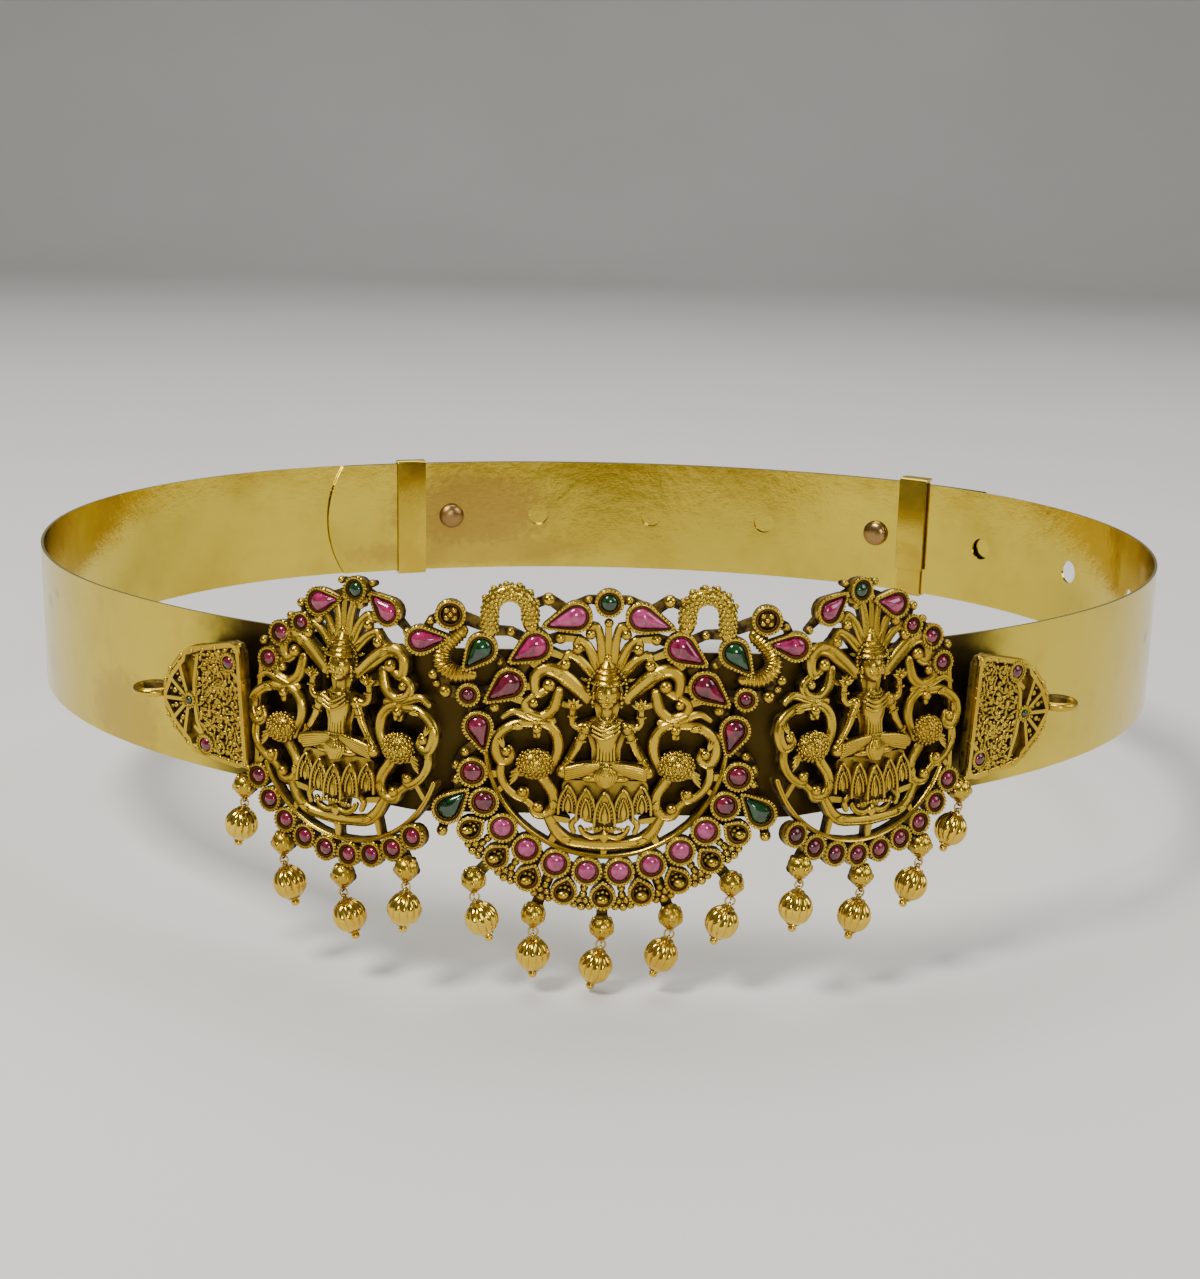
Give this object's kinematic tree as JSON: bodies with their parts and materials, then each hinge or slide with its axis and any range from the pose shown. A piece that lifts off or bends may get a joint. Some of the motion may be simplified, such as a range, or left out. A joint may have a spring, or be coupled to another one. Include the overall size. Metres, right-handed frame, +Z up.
{
  "type": "waist belt",
  "caption": "Oval strap belt with pierced temple-style front panels, cabochon stones, tapering end pieces and hanging fluted beads, adjustable lap at the back.",
  "frame": {"origin": "middle of the hollow that the waist goes through, half way up the strap; the belt keeps the form it has when worn or hung", "axes": "+X to the right seen from the front, -Y out of the front panels, +Z up along the wearer"},
  "size_m": [0.2506, 0.2215, 0.0754],
  "materials": {
    "strap_brass": "polished, lightly tarnished",
    "stud_brass": "darkened",
    "antique_gold": "antique, dark in the recesses",
    "bead_gold": "polished",
    "link_wire": "polished",
    "red_stone": "polished cabochon",
    "green_stone": "polished cabochon",
    "wing_stone": "polished cabochon"
  },
  "bodies": {
    "root": {"band": "strap_brass", "keeper_left": "strap_brass", "keeper_right": "strap_brass", "stud_left": "stud_brass", "stud_right": "stud_brass", "centre_panel": "antique_gold", "left_panel": "antique_gold", "right_panel": "antique_gold", "left_wing": "antique_gold", "right_wing": "antique_gold", "centre_emerald": "green_stone", "ruby_top_left": "red_stone", "ruby_top_right": "red_stone", "ruby_upper_left": "red_stone", "ruby_upper_right": "red_stone", "ruby_shoulder_left": "red_stone", "ruby_shoulder_right": "red_stone", "emerald_feather_left": "green_stone", "emerald_feather_right": "green_stone", "ruby_outer_left": "red_stone", "ruby_outer_right": "red_stone", "ruby_waist_left": "red_stone", "ruby_waist_right": "red_stone", "emerald_low_left": "green_stone", "emerald_low_right": "green_stone", "centre_rubies": "red_stone", "left_panel_emerald": "green_stone", "left_panel_ruby_inner": "red_stone", "left_panel_ruby_outer": "red_stone", "left_panel_rubies": "red_stone", "right_panel_emerald": "green_stone", "right_panel_ruby_inner": "red_stone", "right_panel_ruby_outer": "red_stone", "right_panel_rubies": "red_stone", "left_wing_stones": "wing_stone", "right_wing_stones": "wing_stone", "bead_left_1": "bead_gold", "bead_left_2": "bead_gold", "bead_left_3": "bead_gold", "bead_left_4": "bead_gold", "bead_centre_1": "bead_gold", "bead_centre_2": "bead_gold", "bead_centre_3": "bead_gold", "bead_centre_4": "bead_gold", "bead_centre_5": "bead_gold", "bead_right_1": "bead_gold", "bead_right_2": "bead_gold", "bead_right_3": "bead_gold", "bead_right_4": "bead_gold", "links_left": "link_wire", "links_centre": "link_wire", "links_right": "link_wire"}
  },
  "joints": []
}
